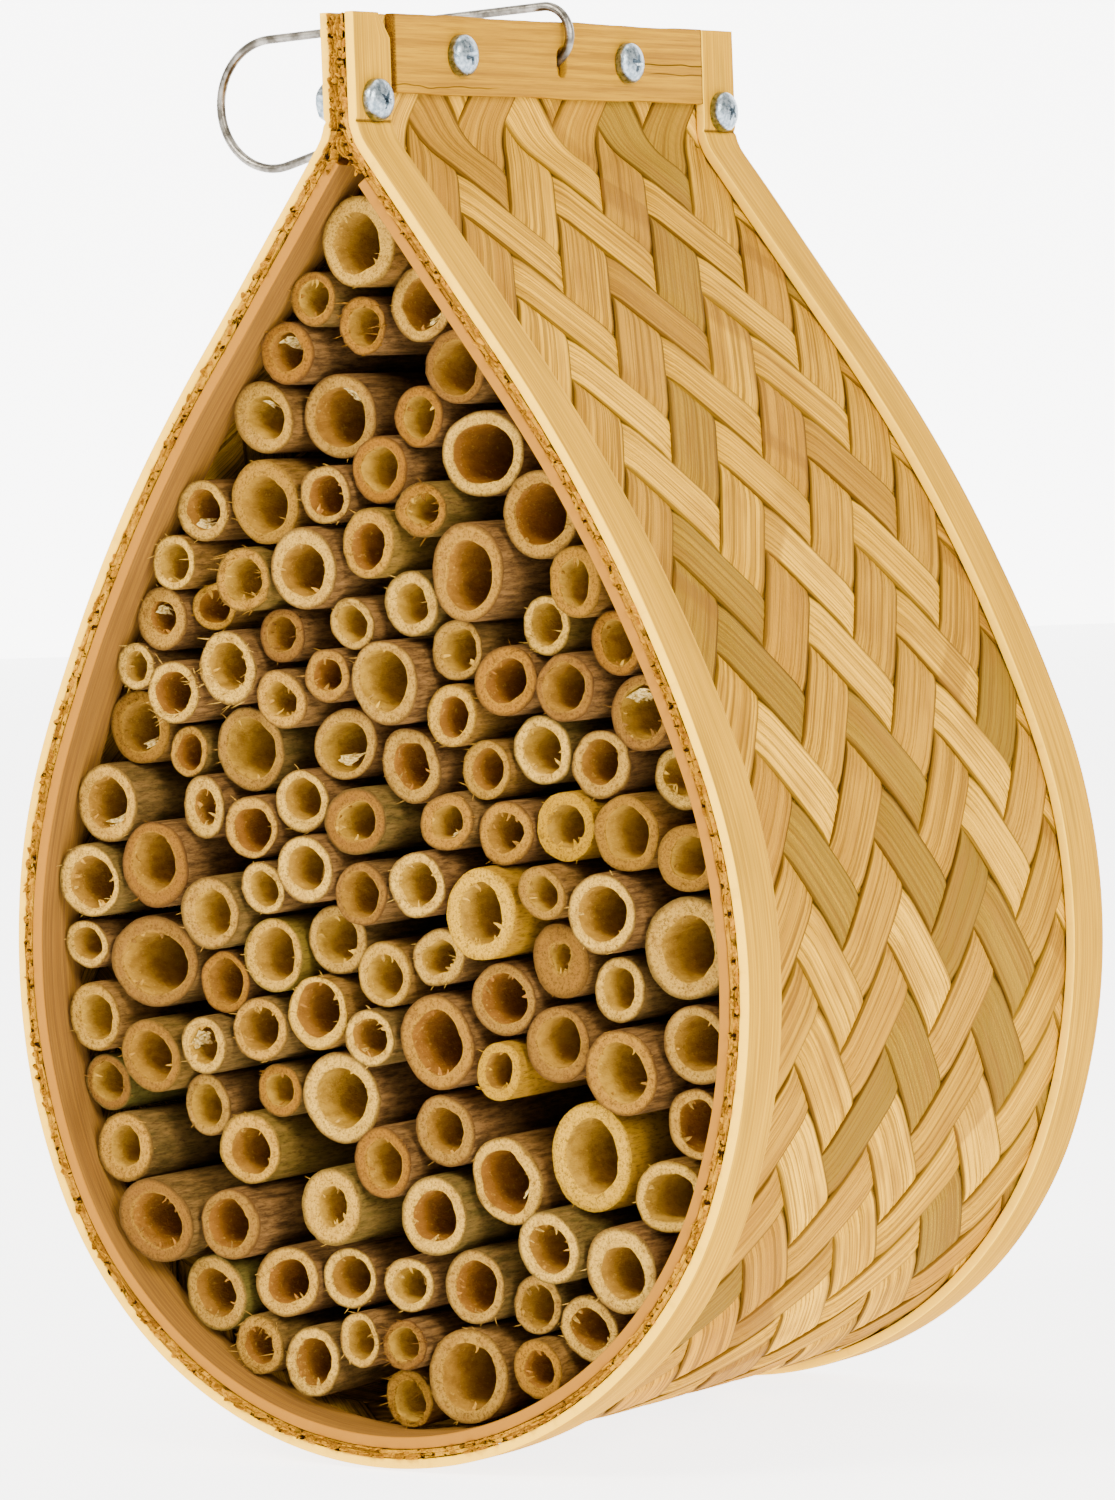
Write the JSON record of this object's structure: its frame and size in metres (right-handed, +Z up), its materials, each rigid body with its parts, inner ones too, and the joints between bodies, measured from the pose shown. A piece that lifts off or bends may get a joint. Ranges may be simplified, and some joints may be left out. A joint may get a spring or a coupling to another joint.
{
  "type": "insect hotel",
  "caption": "Teardrop insect hotel for the garden: a woven bamboo wall between bent laths, packed with hollow reeds and hung by a wire loop at its screwed neck.",
  "frame": {"origin": "on the line that the wire hanger swings about, in the plane of symmetry, midway between the neck's top edge and the hanger's slot", "axes": "+X to the side of the screw heads, +Y from the open front to the back, +Z up"},
  "size_m": [0.168, 0.135, 0.2792],
  "materials": {
    "woven_mat": "woven split bamboo, matt, with open grain",
    "pale_lath": "smooth bent bamboo lath with pale edges",
    "pink_lath": "smooth bamboo lath, pinkish tan",
    "batten": "planed bamboo slat with long grain and fine cracks",
    "board": "thin bamboo board",
    "reed": "sawn reed and bamboo ends, brown barrels",
    "zinc": "bright zinc plate",
    "wire": "nickel-plated wire, slightly dull"
  },
  "bodies": {
    "hotel": {"back_panel": "board", "front_inner_hoop": "pink_lath", "front_outer_hoop": "pale_lath", "left_neck_batten": "batten", "neck_nuts": "zinc", "neck_screws": "zinc", "rear_inner_hoop": "pink_lath", "rear_outer_hoop": "pale_lath", "reed_course_01": "reed", "reed_course_02": "reed", "reed_course_03": "reed", "reed_course_04": "reed", "reed_course_05": "reed", "reed_course_06": "reed", "reed_course_07": "reed", "reed_course_08": "reed", "reed_course_09": "reed", "reed_course_10": "reed", "reed_course_11": "reed", "reed_course_12": "reed", "reed_course_13": "reed", "reed_course_14": "reed", "reed_course_15": "reed", "reed_course_16": "reed", "reed_course_17": "reed", "reed_course_18": "reed", "reed_course_19": "reed", "right_neck_batten": "batten", "woven_wall": "woven_mat"},
    "hanger": {"wire_hanger": "wire"}
  },
  "joints": [
    {"name": "hanger_swing", "type": "hinge", "parent": "hotel", "child": "hanger", "pos_m": [0, 0, 0], "axis": [0, 1, 0], "range_deg": [0, 195]}
  ]
}
